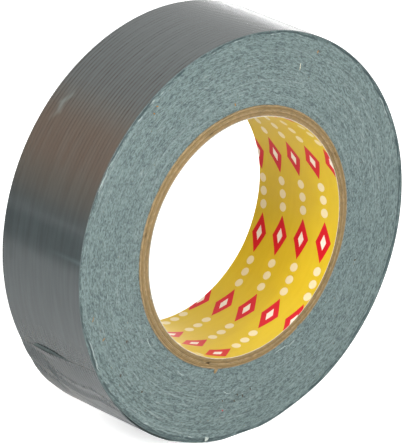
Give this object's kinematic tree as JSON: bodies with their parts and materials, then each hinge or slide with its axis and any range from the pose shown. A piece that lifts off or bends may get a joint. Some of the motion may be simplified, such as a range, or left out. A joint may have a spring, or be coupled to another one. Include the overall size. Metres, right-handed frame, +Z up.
{
  "type": "duct tape roll",
  "caption": "Roll of grey cloth duct tape, part used, standing on its rim, wound on a chipboard core with a printed liner; its free end is loose and peels back.",
  "frame": {"origin": "on the roll's axis at mid-width, which is the centre of the bore", "axes": "+Y along the roll's axis, from the side with the loose end's free edge at the left to the other side; +Z up, away from the surface that the rim stands on"},
  "size_m": [0.131, 0.036, 0.1308],
  "materials": {
    "liner_paper": "semi-gloss printed paper, yellow ground with red and cream motifs",
    "core_board": "matt raw chipboard",
    "wound_tape": "cut edges of the turns, teal grey, fibrous",
    "tape_film": "semi-gloss grey polyethylene with fine ribs along the tape",
    "scrim_cloth": "open woven gauze",
    "tape_adhesive": "tacky, satin, teal grey"
  },
  "bodies": {
    "roll": {"printed_liner": "liner_paper", "core_ply_1": "core_board", "core_ply_2": "core_board", "core_ply_3": "core_board", "core_ply_4": "core_board", "core_ply_5": "core_board", "core_ply_6": "core_board", "core_ply_7": "core_board", "wound_turns": "wound_tape", "last_turn_film": "tape_film", "last_turn_scrim": "scrim_cloth", "last_turn_adhesive": "tape_adhesive"},
    "tail_root": {"tail_root_film": "tape_film", "tail_root_scrim": "scrim_cloth", "tail_root_adhesive": "tape_adhesive"},
    "tail_middle": {"tail_middle_film": "tape_film", "tail_middle_scrim": "scrim_cloth", "tail_middle_adhesive": "tape_adhesive"},
    "tail_tip": {"tail_tip_film": "tape_film", "tail_tip_scrim": "scrim_cloth", "tail_tip_adhesive": "tape_adhesive"}
  },
  "joints": [
    {"name": "tail_peel", "type": "hinge", "parent": "roll", "child": "tail_root", "pos_m": [-0.0319, 0, -0.05755], "axis": [0, -1, 0], "range_deg": [0, 25]},
    {"name": "tail_bend_middle", "type": "hinge", "parent": "tail_root", "child": "tail_middle", "pos_m": [-0.04317, 0, -0.04966], "axis": [0, -1, 0], "range_deg": [0, 30]},
    {"name": "tail_bend_tip", "type": "hinge", "parent": "tail_middle", "child": "tail_tip", "pos_m": [-0.05255, 0, -0.0396], "axis": [0, -1, 0], "range_deg": [0, 35]}
  ]
}
